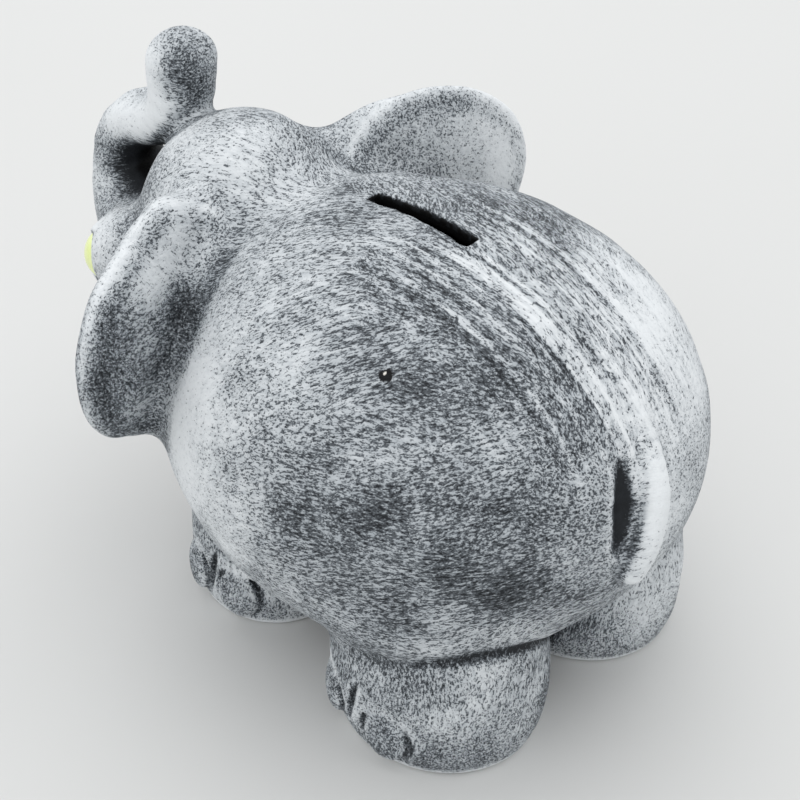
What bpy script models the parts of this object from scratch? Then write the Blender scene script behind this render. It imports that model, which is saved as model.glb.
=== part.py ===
"""Elephant coin bank: a hollow ceramic casting with a coin slot and a rubber stopper.

The animal stands on Z = 0, faces -Y, and has its left side at +X. The casting is built as
the pieces that it is luted together from, with a narrow joint line between neighbours.
The stopper in the belly is the only piece that moves: it pulls straight down.
"""
import math

import bmesh
import bpy
from mathutils import Euler, Matrix, Vector

MM = 0.001

# ---------------------------------------------------------------- driving dimensions, in mm
FRAME_Y = 22.75                   # shifts the body so that the whole animal is centred
WALL = 4.5                        # thickness of the casting
JOINT_LINE = 0.3                  # gap between two luted pieces

TORSO_CENTRE = (0, 4.5, 76)
TORSO_RADII = (72.7, 82.5, 62.6)
TORSO_TILT = 4.9                  # degrees, rump up
SHOULDER_CENTRE = (0, -25.4, 82.6)
SHOULDER_RADII = (43.6, 25.1, 45.6)
HEAD_CENTRE = (0, -70.4, 97.3)
HEAD_RADII = (34.3, 35.4, 45.6)
HAUNCH_CENTRE = (28, 34, 55)
HAUNCH_RADII = (34, 33, 26)
BROW_CENTRE = (23.5, -98, 96)     # mound that carries the eye
BROW_RADIUS = 13

EAR_CENTRE = (54.3, -53, 105.8)
EAR_RADII = (37, 8.2, 33)
EAR_TURN = (-2.3, -13.1, 24.5)    # degrees about X, then Y, then Z
EAR_ROOT_START = (24, -58, 110)
EAR_ROOT_RADII = (14, 8)

# Centre line of the trunk in the middle plane: y, z, radius
TRUNK_LINE = [(-88, 80, 22), (-97, 83, 21), (-112, 92, 17), (-122, 100, 13), (-126.5, 109, 10.3),
              (-125, 119, 9.2), (-117.5, 127, 8.7), (-107.5, 130.5, 8.5), (-98, 138, 8.8),
              (-95.5, 153, 9.4)]
TRUNK_FLATTEN = 1.2               # width of the trunk over its depth

LIP_CENTRE = (0, -86, 54)
LIP_RADII = (15, 17, 8.5)

EYE_CENTRE = (27.5, -104, 95)
EYE_RADIUS = 8.7

# Legs: centre, half sizes, and where the nails sit, in degrees from straight ahead, outwards
REAR_LEG = {"x": 30, "y": 36.5, "half_width": 29.5, "half_length": 33, "nails": (100, 54, 8, -38)}
FRONT_LEG = {"x": 27, "y": -41, "half_width": 22.5, "half_length": 27, "nails": (109, 62, 15, -32)}
# Side of a leg from the top down: share of the half width, height
LEG_SIDE = [(0.95, 45), (1.0, 24), (1.0, 14), (0.975, 7), (0.93, 2.5)]
LEG_NECK = 0.93                   # the same share at the foot of the dome on top
SOLE = 0.88
LEG_TOP = 77
LEG_DOME = 20                     # height of the dome, which lies inside the body
DOME_ANGLES = (70, 50, 30, 12)    # degrees above the horizontal of the dome's corners
SOLE_CUT = 4                      # the form runs this far under the floor before it is cut flat
WELL_TOP = 70.25                  # the hollow of a leg opens into the body below this height
WELL_FLOOR_SHARES = (0.8, 0.6)    # rounding of the hollow's floor
NAIL_RADII = (6.9, 3.6, 8.2)
NAIL_HEIGHT = 12.5
NAIL_SEAT = 0.95                  # share of the leg's half size where a nail's centre is

# Centre line of the tail: x, y, z, radius
TAIL_LINE = [(0, 50, 127), (0, 62, 120.5), (0, 72.5, 111), (0.5, 80, 101), (1.5, 84.8, 92),
             (3.5, 86.8, 83), (5.5, 87, 76), (7.5, 86.4, 69)]
TAIL_RADIUS = 4.2

SLOT_CENTRE = (0, 2.2, 137)
SLOT_LENGTH = 38.5
SLOT_WIDTH = 5.2
SLOT_DEPTH = 30

HOLE_Y = -4.5                     # stopper hole in the belly
HOLE_RADIUS = 13.2
SEAT_RADIUS = 17.4
SEAT_Z = 15.4                     # flat seat that is cut into the belly round the hole
HOLE_TOP = 60                     # the hole's cutter ends inside the cavity
PLUG_CLEARANCE = 0.3
FLANGE_RADIUS = 16.6
FLANGE_THICKNESS = 2.2
FLANGE_EDGE = 0.8
PLUG_HEIGHT = 11.0
PLUG_SHOULDER = 1.0
PLUG_TAPER = (2.6, 1.6)           # how far the neck draws in at its top, and just below it
FINGER_RADII = (9.0, 7.5)         # hollow under the plug for a finger nail
FINGER_DEPTH = 0.9

BEYOND = 400                      # size of a cutter that reaches past the whole animal

# ---------------------------------------------------------------- collections and materials


def clear_scene():
    for obj in list(bpy.data.objects):
        bpy.data.objects.remove(obj, do_unlink=True)


def new_collection(name):
    collection = bpy.data.collections.new(name)
    bpy.context.scene.collection.children.link(collection)
    return collection


def new_material(name, colour, roughness):
    material = bpy.data.materials.new(name)
    material.use_nodes = True
    shader = material.node_tree.nodes["Principled BSDF"]
    shader.inputs["Base Color"].default_value = (*colour, 1)
    shader.inputs["Roughness"].default_value = roughness
    shader.inputs["Metallic"].default_value = 0
    material.diffuse_color = (*colour, 1)
    return material


clear_scene()
PARTS = new_collection("elephant_coin_bank")
CUTTERS = new_collection("cutters")
CERAMIC = new_material("brushed_ceramic", (0.42, 0.44, 0.46), 0.85)
EYE_GLAZE = new_material("eye_glaze", (0.78, 0.86, 0.36), 0.25)
RUBBER = new_material("stopper_rubber", (0.03, 0.03, 0.03), 0.7)

# ---------------------------------------------------------------- shapes


def place(point):
    """A point of the animal, in mm, as a position in metres in the frame."""
    x, y, z = point
    return Vector((x, y + FRAME_Y, z)) * MM


def link(obj, collection):
    for owner in list(obj.users_collection):
        owner.objects.unlink(obj)
    collection.objects.link(obj)
    if collection is CUTTERS:
        obj.hide_render = True
        obj.display_type = "WIRE"
    return obj


def apply_transform(obj):
    obj.data.transform(obj.matrix_basis)
    obj.matrix_basis.identity()
    return obj


def baked(obj):
    """Replace the object's mesh by what its modifiers make of it."""
    bpy.context.view_layer.update()
    evaluated = obj.evaluated_get(bpy.context.evaluated_depsgraph_get())
    mesh = bpy.data.meshes.new_from_object(evaluated)
    obj.modifiers.clear()
    obj.data = mesh
    return obj


def ellipsoid(name, centre, radii, turn=(0, 0, 0), segments=48):
    bpy.ops.mesh.primitive_uv_sphere_add(segments=segments, ring_count=segments // 2, radius=1)
    obj = bpy.context.object
    obj.name = name
    obj.scale = Vector(radii) * MM
    obj.rotation_euler = Euler([math.radians(angle) for angle in turn], "YXZ")
    obj.location = place(centre)
    bpy.context.view_layer.update()
    return link(apply_transform(obj), CUTTERS)


def tube(name, points, radii, stretch_x=1.0):
    """A round tube through the points, with a ball at each end."""
    curve = bpy.data.curves.new(name, "CURVE")
    curve.dimensions = "3D"
    curve.bevel_depth = MM
    curve.bevel_resolution = 6
    curve.use_fill_caps = True
    spline = curve.splines.new("BEZIER")
    spline.bezier_points.add(len(points) - 1)
    for knot, point, radius in zip(spline.bezier_points, points, radii):
        knot.co = place(point)
        knot.handle_left_type = "AUTO"
        knot.handle_right_type = "AUTO"
        knot.radius = radius
    guide = link(bpy.data.objects.new(name + "_line", curve), CUTTERS)
    bpy.context.view_layer.update()
    mesh = bpy.data.meshes.new_from_object(guide.evaluated_get(bpy.context.evaluated_depsgraph_get()))
    bpy.data.objects.remove(guide, do_unlink=True)
    weld(mesh)
    obj = link(bpy.data.objects.new(name, mesh), CUTTERS)
    ends = [ellipsoid(name + "_end", points[i], (radii[i],) * 3) for i in (0, -1)]
    obj = joined([obj] + ends)
    obj.scale.x = stretch_x
    bpy.context.view_layer.update()
    return apply_transform(obj)


def weld(mesh):
    shape = bmesh.new()
    shape.from_mesh(mesh)
    bmesh.ops.remove_doubles(shape, verts=shape.verts, dist=0.00001)
    bmesh.ops.recalc_face_normals(shape, faces=shape.faces)
    shape.to_mesh(mesh)
    shape.free()


def turned(name, profile, centre, stretch_y=1.0, steps=40):
    """A solid of revolution: the profile lists (radius, z) from the top down."""
    mesh = bpy.data.meshes.new(name)
    corners = [(radius * MM, 0, z * MM) for radius, z in profile]
    mesh.from_pydata(corners, [(i, i + 1) for i in range(len(corners) - 1)], [])
    obj = link(bpy.data.objects.new(name, mesh), CUTTERS)
    screw = obj.modifiers.new("turn", "SCREW")
    screw.steps = steps
    screw.render_steps = steps
    screw.use_merge_vertices = True
    screw.merge_threshold = 0.00001
    screw.use_smooth_shade = False
    baked(obj)
    weld(obj.data)
    obj.scale.y = stretch_y
    obj.location = place((centre[0], centre[1], 0))
    bpy.context.view_layer.update()
    return apply_transform(obj)


def box(name, centre, size):
    bpy.ops.mesh.primitive_cube_add(size=1)
    obj = bpy.context.object
    obj.name = name
    obj.scale = Vector(size) * MM
    obj.location = place(centre)
    bpy.context.view_layer.update()
    return link(apply_transform(obj), CUTTERS)


def joined(objects):
    """All the meshes in one object; they still overlap as separate skins."""
    target = objects[0]
    shape = bmesh.new()
    for obj in objects:
        shape.from_mesh(obj.data)
    mesh = bpy.data.meshes.new(target.name)
    shape.to_mesh(mesh)
    shape.free()
    target.data = mesh
    for obj in objects[1:]:
        bpy.data.objects.remove(obj, do_unlink=True)
    return target


def fused(obj, voxel, smoothing, keep):
    """One skin round overlapping forms, with soft blends, thinned to a share of its faces."""
    remesh = obj.modifiers.new("fuse", "REMESH")
    remesh.mode = "VOXEL"
    remesh.voxel_size = voxel * MM
    smooth = obj.modifiers.new("blend", "SMOOTH")
    smooth.factor = 0.5
    smooth.iterations = smoothing
    thin = obj.modifiers.new("thin", "DECIMATE")
    thin.ratio = keep
    return baked(obj)


def symmetric(obj):
    """Both sides alike: the +X side is mirrored over the middle plane."""
    mirror = obj.modifiers.new("mirror", "MIRROR")
    mirror.use_bisect_axis = (True, False, False)
    mirror.use_bisect_flip_axis = (False, False, False)
    mirror.merge_threshold = 0.00001
    return baked(obj)


def swollen(obj, name, amount, keep=1.0):
    """A copy of the object whose skin is moved out along its normals by the amount, in mm."""
    copy = link(bpy.data.objects.new(name, obj.data.copy()), CUTTERS)
    thin = copy.modifiers.new("thin", "DECIMATE")
    thin.ratio = keep
    push = copy.modifiers.new("push", "DISPLACE")
    push.mid_level = 0
    push.strength = amount * MM
    return baked(copy)


def boolean(obj, operation, cutter):
    """Cut obj by one cutter, or join it to it, with the exact solver."""
    cut = obj.modifiers.new(cutter.name, "BOOLEAN")
    cut.operation = operation
    cut.solver = "EXACT"
    cut.object = cutter
    return obj


def minus(obj, *cutters):
    for cutter in cutters:
        boolean(obj, "DIFFERENCE", cutter)
    baked(obj)
    weld(obj.data)
    return obj


def mirrored(obj):
    """The same piece for the other side of the animal."""
    copy = link(bpy.data.objects.new("mirrored", obj.data.copy()), PARTS)
    copy.scale.x = -1
    bpy.context.view_layer.update()
    apply_transform(copy)
    copy.data.flip_normals()
    return copy


def finished(obj, name, material, sharp_angle=35):
    """Name a piece, give it its material and shading, and put it with the parts."""
    obj.name = name
    obj.data.name = name
    obj.data.materials.clear()
    obj.data.materials.append(material)
    obj.data.shade_smooth()
    obj.data.set_sharp_from_angle(angle=math.radians(sharp_angle))
    link(obj, PARTS)
    obj.display_type = "TEXTURED"
    obj.hide_render = False
    return obj


def both_sides(obj, name, material):
    """The finished piece for the left side, and its mirror image for the right side."""
    finished(obj, "left_".join(name), material)
    finished(mirrored(obj), "right_".join(name), material)


def opposite(point):
    return (-point[0], point[1], point[2])


def set_origin(obj, point):
    """Move the object's origin to a point of the animal; its shape stays where it is."""
    at = place(point)
    obj.data.transform(Matrix.Translation(-at))
    obj.location = at
    return obj


# ---------------------------------------------------------------- body


def body_form():
    forms = [ellipsoid("torso", TORSO_CENTRE, TORSO_RADII, (TORSO_TILT, 0, 0)),
             ellipsoid("shoulder", SHOULDER_CENTRE, SHOULDER_RADII),
             ellipsoid("head", HEAD_CENTRE, HEAD_RADII)]
    for side in (lambda point: point, opposite):
        forms.append(ellipsoid("haunch", side(HAUNCH_CENTRE), HAUNCH_RADII))
        forms.append(ellipsoid("brow", side(BROW_CENTRE), (BROW_RADIUS,) * 3))
    body = fused(joined(forms), voxel=2.5, smoothing=14, keep=0.05)
    body.name = "body_form"
    return symmetric(body)


def leg_profile(radius, foot, top):
    """Outer line of a leg from the top down: a dome, a barrelled column and a rounded foot."""
    dome = [(0, top)]
    for angle in DOME_ANGLES:
        turn = math.radians(angle)
        dome.append((math.cos(turn) * radius * LEG_NECK, top - LEG_DOME + math.sin(turn) * LEG_DOME))
    side = [(share * radius, height) for share, height in LEG_SIDE if height > foot]
    return dome + side + [(radius * SOLE, foot), (0, foot)]


def leg_hollow(leg, name):
    """The space inside a leg, open upwards into the body."""
    radius = leg["half_width"] - WALL
    stretch = (leg["half_length"] - WALL) / radius
    profile = leg_profile(radius, WALL, WELL_TOP)[:-2]
    wide, narrow = WELL_FLOOR_SHARES
    profile += [(radius * wide, WALL + 1.5), (radius * narrow, WALL), (0, WALL)]
    return turned(name, profile, (leg["x"], leg["y"]), stretch)


def leg_piece(leg, name, envelope, hollow, floor):
    radius = leg["half_width"]
    stretch = leg["half_length"] / radius
    forms = [turned(name, leg_profile(radius, -SOLE_CUT, LEG_TOP), (leg["x"], leg["y"]), stretch)]
    for angle in leg["nails"]:
        turn = math.radians(angle)
        out = radius * NAIL_SEAT
        centre = (leg["x"] + math.sin(turn) * out, leg["y"] - math.cos(turn) * out * stretch, NAIL_HEIGHT)
        forms.append(ellipsoid("nail", centre, NAIL_RADII, (0, 0, angle)))
    leg_solid = fused(joined(forms), voxel=2.0, smoothing=3, keep=0.04)
    return minus(leg_solid, floor, envelope, hollow)


def stopper_piece():
    """Rubber plug: a flange under the seat and a tapered neck in the hole."""
    flange_top = SEAT_Z - PLUG_CLEARANCE
    flange_base = flange_top - FLANGE_THICKNESS
    neck = HOLE_RADIUS - PLUG_CLEARANCE
    top = flange_top + PLUG_HEIGHT
    profile = [(0, top), (neck - PLUG_TAPER[0], top), (neck - PLUG_TAPER[1], top - PLUG_SHOULDER),
               (neck, flange_top + PLUG_SHOULDER), (neck, flange_top), (FLANGE_RADIUS, flange_top),
               (FLANGE_RADIUS, flange_base + FLANGE_EDGE), (FLANGE_RADIUS - FLANGE_EDGE, flange_base),
               (FINGER_RADII[0], flange_base), (FINGER_RADII[1], flange_base + FINGER_DEPTH),
               (0, flange_base + FINGER_DEPTH)]
    return set_origin(turned("stopper", profile, (0, HOLE_Y)), (0, HOLE_Y, flange_base))


def build():
    body = body_form()
    envelope = swollen(body, "envelope", JOINT_LINE)
    cavity = swollen(body, "cavity", -WALL, keep=0.4)
    floor = box("floor", (0, 0, -BEYOND / 2), (BEYOND, BEYOND, BEYOND))
    left_space = box("left_space", ((BEYOND + JOINT_LINE) / 2, 0, 0), (BEYOND, BEYOND, BEYOND))
    slot = box("slot", SLOT_CENTRE, (SLOT_WIDTH, SLOT_LENGTH, SLOT_DEPTH))
    hole = turned("hole", [(0, HOLE_TOP), (HOLE_RADIUS, HOLE_TOP), (HOLE_RADIUS, SEAT_Z), (SEAT_RADIUS, SEAT_Z),
                           (SEAT_RADIUS, 0), (0, 0)], (0, HOLE_Y))
    rear_hollow = leg_hollow(REAR_LEG, "rear_hollow")
    front_hollow = leg_hollow(FRONT_LEG, "front_hollow")

    shell = link(bpy.data.objects.new("left_body_shell", body.data.copy()), CUTTERS)
    boolean(shell, "INTERSECT", left_space)
    minus(shell, cavity, rear_hollow, front_hollow, slot, hole)
    both_sides(shell, ("", "body_shell"), CERAMIC)

    slab = ellipsoid("ear", EAR_CENTRE, EAR_RADII, EAR_TURN)
    root = tube("ear_root", [EAR_ROOT_START, EAR_CENTRE], EAR_ROOT_RADII)
    ear = minus(fused(joined([slab, root]), voxel=2.0, smoothing=4, keep=0.07), envelope)
    both_sides(ear, ("", "ear"), CERAMIC)

    for name, leg, hollow in (("rear", REAR_LEG, rear_hollow), ("front", FRONT_LEG, front_hollow)):
        both_sides(leg_piece(leg, name, envelope, hollow, floor), (name + "_", "leg"), CERAMIC)

    trunk_form = tube("trunk", [(0, y, z) for y, z, _ in TRUNK_LINE], [r for _, _, r in TRUNK_LINE],
                      TRUNK_FLATTEN)
    trunk_form = fused(trunk_form, voxel=1.6, smoothing=3, keep=0.05)
    trunk_envelope = swollen(trunk_form, "trunk_envelope", JOINT_LINE)
    finished(minus(trunk_form, envelope), "trunk", CERAMIC)

    eye = minus(ellipsoid("eye", EYE_CENTRE, (EYE_RADIUS,) * 3, segments=24), envelope, trunk_envelope)
    both_sides(eye, ("", "eye"), EYE_GLAZE)

    lip = minus(ellipsoid("lip", LIP_CENTRE, LIP_RADII, segments=28), envelope, trunk_envelope)
    finished(lip, "lower_lip", CERAMIC)

    tail_points = [point[:3] for point in TAIL_LINE]
    tail = tube("tail", tail_points, [TAIL_RADIUS] * len(tail_points))
    finished(minus(fused(tail, voxel=1.2, smoothing=2, keep=0.08), envelope), "tail", CERAMIC)

    finished(stopper_piece(), "stopper", RUBBER)


build()
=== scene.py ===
"""The elephant coin bank: one smooth form, cast, cut, and dry-brushed with pale paint over black."""
import math

import bmesh
import bpy
import numpy as np
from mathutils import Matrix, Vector


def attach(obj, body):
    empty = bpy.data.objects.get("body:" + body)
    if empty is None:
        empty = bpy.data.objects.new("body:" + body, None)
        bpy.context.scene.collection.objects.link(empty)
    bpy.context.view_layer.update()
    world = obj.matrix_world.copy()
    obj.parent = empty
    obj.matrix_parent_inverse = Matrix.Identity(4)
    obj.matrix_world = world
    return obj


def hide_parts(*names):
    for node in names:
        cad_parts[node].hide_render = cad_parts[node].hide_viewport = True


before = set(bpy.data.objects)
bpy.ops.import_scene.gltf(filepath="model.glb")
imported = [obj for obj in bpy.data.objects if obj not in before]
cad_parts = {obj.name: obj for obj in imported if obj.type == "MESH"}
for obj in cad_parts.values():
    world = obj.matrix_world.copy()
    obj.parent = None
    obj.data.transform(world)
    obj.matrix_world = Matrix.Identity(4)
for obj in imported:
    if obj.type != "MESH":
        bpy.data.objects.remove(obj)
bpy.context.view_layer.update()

# ---- Driving sizes: millimetres, X to the elephant's left, Y backwards, Z up ---------------------
FRAME_Y = 22.75                    # from these sizes to the shared frame
CELL = 0.98  # width of one cell of the net laid over the form
LOWEST = (-92, -141, -3)           # the box that the net is looked for in
HIGHEST = (92, 96, 165)
BATCH = 400000                     # points worked out at a time, to spare memory
WALL = 4.5

# An ellipsoid is its centre and its radii. Angles are in degrees.
TORSO = ((0, 4.5, 76), (72.7, 82.5, 62.6))
TORSO_TILT = 4.9
SHOULDER = ((0, -25.4, 82.6), (43.6, 25.1, 45.6))
HEAD = ((0, -70.4, 97.3), (34.3, 35.4, 45.6))
HAUNCH = ((28, 34, 55), (34, 33, 26))
BROW = (23.5, -98, 96)
BROW_RADIUS = 13
LIP = ((0, -86, 54), (15, 17, 8.5))
CREST_LINE = ((1.6, 21, 134.6), (1, 34, 131.8), (0, 50, 126.5))
CREST_RADII = (2.4, 2.2, 2.0)

EAR = ((54.3, -53, 105.8), (37, 8.2, 33))
EAR_TURN = (24.5, -2.3, -13.1)     # about Z, X and Y
EAR_ROOT = (28.8, -57.7, 110)
EAR_ROOT_RADIUS = 13.4
# In the ear's own axes: the hollow of its front, and two rods that fillet it to the neck.
EAR_DISH = ((0, -9.5, -1), (29, 7.5, 26))
EAR_TOP = ((-10, 0, 26), (-38, 1, 23), 3.8, 7.6)
EAR_FOOT = ((2, 0, -28), (-20, 0, -36), 4.2, 5.2)
# The left ear's upper outline is flattened: by how much, at which heading, over what spread.
EAR_FLAT = (0.15, 56, 27)

# The right side stands off from the left one's mirror image.
RIGHT_EAR = (2.2, 2.2, 0)
RIGHT_REAR = (2.0, 2.0, 0)
RIGHT_FLANK = 0.977                # the left flank's width as a share of the right one's

EYE = (27.2, -103.2, 95.2)
EYE_RADIUS = 8.7
EYE_BACK = 4.2                     # from the eye's middle to its flat back
EYE_FACING = (0.60, -0.79, -0.03)
# The way each lid faces, how far out along that way its edge lies, and its thickness.
EYELIDS = (((-0.45, -0.35, 0.82), 6.9, 0.9), ((-0.35, -0.30, -0.89), 6.6, 1.2))

# The trunk's line as y, z and radius, from its root to the raised tip.
TRUNK_LINE = ((-95, 83, 21), (-112, 92, 17.6), (-122, 100, 13.3), (-126.2, 109, 10.2), (-125, 119, 9.0),
              (-117.5, 127, 8.7), (-107.5, 130.5, 8.5), (-98, 138, 8.8), (-95.5, 153, 9.4))
TRUNK_FLATTEN = 1.2
NOSTRIL = ((4.0, -103.5, 157.5), (2.1, 5, 2.6))
NOSTRIL_TILT = -35

REAR_LEG = (30, 36.5, 29.5, 33)    # x, y, half width, half length
FRONT_LEG = (26.8, -38.2, 22.5, 25.4)
# The leg's outline: height, and share of its full width there.
LEG_PROFILE = ((-5, 0.86), (0, 0.885), (2, 0.92), (3.6, 0.925), (5, 0.95), (9, 0.985), (15, 1.0), (24, 1.0),
               (45, 0.95), (62, 0.93), (90, 0.9))
LEG_TOP = 62
LEG_TOP_SHARE = 0.93
REAR_NAILS = (100, 54, 8, -38)     # degrees from straight ahead, outwards
FRONT_NAILS = (109, 62, 15, -32)
NAIL_RADII = (7.2, 3.4, 8.6)
NAIL_GROOVE = (8.5, 1.7, 10.0)
NAIL_HEIGHT = 12.5
NAIL_FOOT = 2.0
NAIL_LEAN = -4
CREVICE_RADII = (1.0, 2.2, 9.5)    # the crevice between two neighbouring nails
CREVICE_HEIGHT = 17
CREVICE_LEAN = 14

TAIL_LINE = ((0, 50, 127), (0, 62, 120.5), (0, 72.5, 111), (1.4, 80, 101), (4, 85.3, 92), (7.2, 86.8, 83),
             (9.8, 86.8, 76), (11.6, 86.0, 70.5))
TAIL_RADII = (1.6, 2.4, 3.1, 3.6, 3.9, 4.1, 4.1, 3.6)
RECESS_LINE = ((11.8, 80.6, 102), (13.8, 84.9, 91.5), (16.4, 85.9, 80))   # the hollow beside the tail
RECESS_RADII = (1.5, 3.7, 2.0)

SLOT_Y = 2.2
SLOT_HALF = (2.4, 19.2)            # half width and half length
SLOT_BOW = (0.65, 0.055, 0.0018)   # how far it strays to the left at its middle, its slant and its curve
SLOT_FLOOR = 104
HOLE_Y = -4.5
HOLE_RADIUS = 13.2
HOLE_TOP = 40
SEAT_RADIUS = 17.4
SEAT_Z = 15.4
CHIP = (43.8, 29.8, 121.4)

# How widely each lump runs into what it is joined to.
FILLET = {"shoulder": 18, "head": 12.5, "haunch": 10, "brow": 9, "crest": 5, "ear": 8, "ear root": 9,
          "ear top": 10, "ear foot": 6, "ear dish": 3, "front leg": 3, "lip": 1.5, "tail": 2.2, "recess": 2.4,
          "leg hollow": 8, "sole": 2.4, "groove": 1.0, "crevice": 1.2, "nail": 0.8, "nail foot": 1, "lid": 2,
          "lid edge": 0.8, "nostril": 1, "slot": 0.4, "hole": 0.6}

# Boxes round the lumps, with room for their fillets. A lump is worked out only inside its box.
EAR_SPACE = ((2, -92, 58), (102, -18, 154))
TRUNK_SPACE = ((-44, -152, 46), (44, -50, 178))
LIP_SPACE = ((-30, -118, 32), (30, -54, 77))
TAIL_SPACE = ((-20, 36, 50), (28, 106, 142))
CREST_SPACE = ((-16, 8, 110), (18, 64, 150))
RECESS_SPACE = ((-4, 66, 60), (32, 106, 122))
REAR_SPACE = ((-14, -12, -12), (76, 86, 90))
FRONT_SPACE = ((-12, -84, -12), (66, 2, 90))
EYE_SPACE = ((10, -122, 80), (46, -84, 112))
HOLLOW_SPACE = ((-75, -105, -1), (75, 92, 145))
FAR = 14.0                         # stands for any distance beyond the reach of a lump's fillet

# Rows of the array that groups() gives.
BODY, EARS, TRUNK, MOUTH, TAIL, REAR, FRONT = range(7)

# Where the brush left more or less of the pale paint: how much, the middle of the patch and its radii.
# Some patches are painted light: a painted highlight on the rump, and painted shade on the left flank and in
# the trunk's loop.
PAINT_AND_LIGHT = (
    (0.20, (66, -22, 82), (22, 24, 42)),       # left shoulder
    (0.10, (56, -16, 112), (22, 24, 20)),      # above the left shoulder
    (0.14, (20, -45, 128), (36, 20, 16)),      # nape
    (0.12, (14, -68, 134), (24, 22, 18)),      # top of the head
    (0.10, (0, 40, 134), (11, 40, 14)),        # crest of the back
    (0.20, (0, 74, 108), (8, 22, 26)),         # root of the tail
    (0.30, (5, 88, 80), (7, 6, 18)),           # tail
    (0.24, (-30, 60, 112), (28, 40, 34)),      # right of the rump: a painted highlight
    (0.32, (24, -106, 98), (22, 22, 20)),      # brows
    (0.50, (14, -114, 132), (14, 14, 10)),     # top of the trunk's loop
    (0.48, (14, -99, 150), (7, 9, 17)),        # left of the trunk's tip
    (-0.34, (6, -88, 152), (8, 6, 12)),        # back of the trunk's tip
    (0.34, (2, -87, 137), (12, 8, 6)),         # where the tip meets the forehead
    (0.14, (10, -128, 104), (14, 10, 16)),     # front of the trunk
    (0.10, (-62, -40, 122), (34, 12, 26)),     # back of the right ear
    (0.24, (62, -32, 88), (14, 12, 30)),       # crease behind the left ear
    (-0.19, (60, 50, 84), (24, 26, 30)),       # left haunch: less pale paint, and painted shade on the lower flank
    (-0.06, (34, 38, 124), (16, 22, 14)),      # left of the crest
    (-0.12, (-14, 30, 134), (18, 28, 14)),     # right of the crest
    (0.08, (40, 68, 106), (14, 14, 12)),       # left of the rump
    (0.08, (50, 56, 42), (22, 18, 14)),        # left thigh
    (-0.18, (56, 52, 8), (22, 20, 10)),        # rear left foot
    (0.10, (34, 66, 30), (16, 14, 18)),        # back of the rear left leg
    (-0.16, (62, 26, 92), (16, 24, 16)),       # left flank: less pale paint, and painted shade
    (-1.5, (0, -111, 113), (14, 8.5, 8.5)),    # inside the trunk's loop: painted shade over the bare black body
)
# Where the black stain in the creases was mostly painted over.
PALE_CREASES = ((0.75, (62, -36, 96), (26, 20, 40)), (0.75, (-62, -36, 96), (26, 20, 40)),
                (0.7, (0, -90, 140), (22, 10, 10)))
# The back of the left ear and of the right ear, in the ear's own axes.
LEFT_EAR_PAINT = ((0.20, (4, 0, 20), (20, 9, 8)), (0.26, (-28, 0, -10), (12, 9, 16)),
                  (-0.18, (18, 0, -10), (20, 9, 20)), (-0.34, (-8, 0, 6), (15, 9, 6)))
RIGHT_EAR_PAINT = ((0.22, (30, 0, 2), (13, 9, 22)),)

# Which way the brush went, on each region that has an attribute of its own.
LEFT_STROKES = (-0.47, 0.82, 0.15)
STROKES = {"mirror": (0.47, 0.82, 0.15), "back": (0.03, 0.99, -0.08), "upright": (0.1, 0.12, 0.98),
           "ear": (0.62, 0.38, 0.45), "crown": (0.55, -0.75, 0.35)}

PARTS = ("left_body_shell", "right_body_shell", "left_ear", "right_ear", "trunk", "lower_lip", "tail",
         "rear_left_leg", "rear_right_leg", "front_left_leg", "front_right_leg")
LEFT_PARTS = (0, 2, 4, 5, 6, 7, 9)     # the part that each row of groups() belongs to, on the left
RIGHT_PARTS = (1, 3, 4, 5, 6, 8, 10)

CAMERA_AZIMUTH = 133.2
CAMERA_ELEVATION = 36.1
CAMERA_DISTANCE = 0.4735           # metres
CAMERA_TARGET = (-0.00381, 0.01228, 0.06875)
CAMERA_LENS = 71.45


# ---- The form, as a distance field over points ---------------------------------------------------
def turn(yaw, pitch, roll):
    """Rotation about Y, then X, then Z, in degrees."""
    y, p, r = np.radians([yaw, pitch, roll])
    about_z = np.array([[np.cos(y), -np.sin(y), 0], [np.sin(y), np.cos(y), 0], [0, 0, 1]])
    about_x = np.array([[1, 0, 0], [0, np.cos(p), -np.sin(p)], [0, np.sin(p), np.cos(p)]])
    about_y = np.array([[np.cos(r), 0, np.sin(r)], [0, 1, 0], [-np.sin(r), 0, np.cos(r)]])
    return (about_z @ about_x @ about_y).astype(np.float32)


def ellipsoid(p, centre, radii, turned=None):
    """Distance to an ellipsoid, near enough for a smooth form."""
    q = p - np.array(centre, np.float32)
    if turned is not None:
        q = q @ turned
    r = np.array(radii, np.float32)
    inner = np.sqrt(((q / r) ** 2).sum(1))
    slope = np.sqrt(((q / (r * r)) ** 2).sum(1)) + 1e-9
    return inner * (inner - 1) / slope


def rod(p, start, end, first, last):
    """A round rod between two points, with its own radius at each end."""
    a = np.array(start, np.float32)
    run = np.array(end, np.float32) - a
    t = np.clip(((p - a) @ run) / (run @ run), 0, 1)
    gap = p - a - t[:, None] * run
    return np.sqrt((gap * gap).sum(1)) - (first + (last - first) * t)


def near(a, b, k):
    """Union with a fillet of size k."""
    h = np.maximum(k - np.abs(a - b), 0) / k
    return np.minimum(a, b) - h * h * k * 0.25


def cut(a, b, k):
    """a with b taken away, its edge rounded by k."""
    return -near(-a, b, k)


def both(a, b, k):
    """What a and b have in common, its edge rounded by k."""
    return -near(-a, -b, k)


def ramp(value, low, high):
    """0 at low, 1 at high, with a soft step between them."""
    t = np.clip((value - low) / (high - low), 0, 1)
    return t * t * (3 - 2 * t)


def band(value, centre, width):
    """1 at the centre value, fading to nothing on both sides."""
    return np.exp(-(((value - centre) / width) ** 2))


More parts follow.
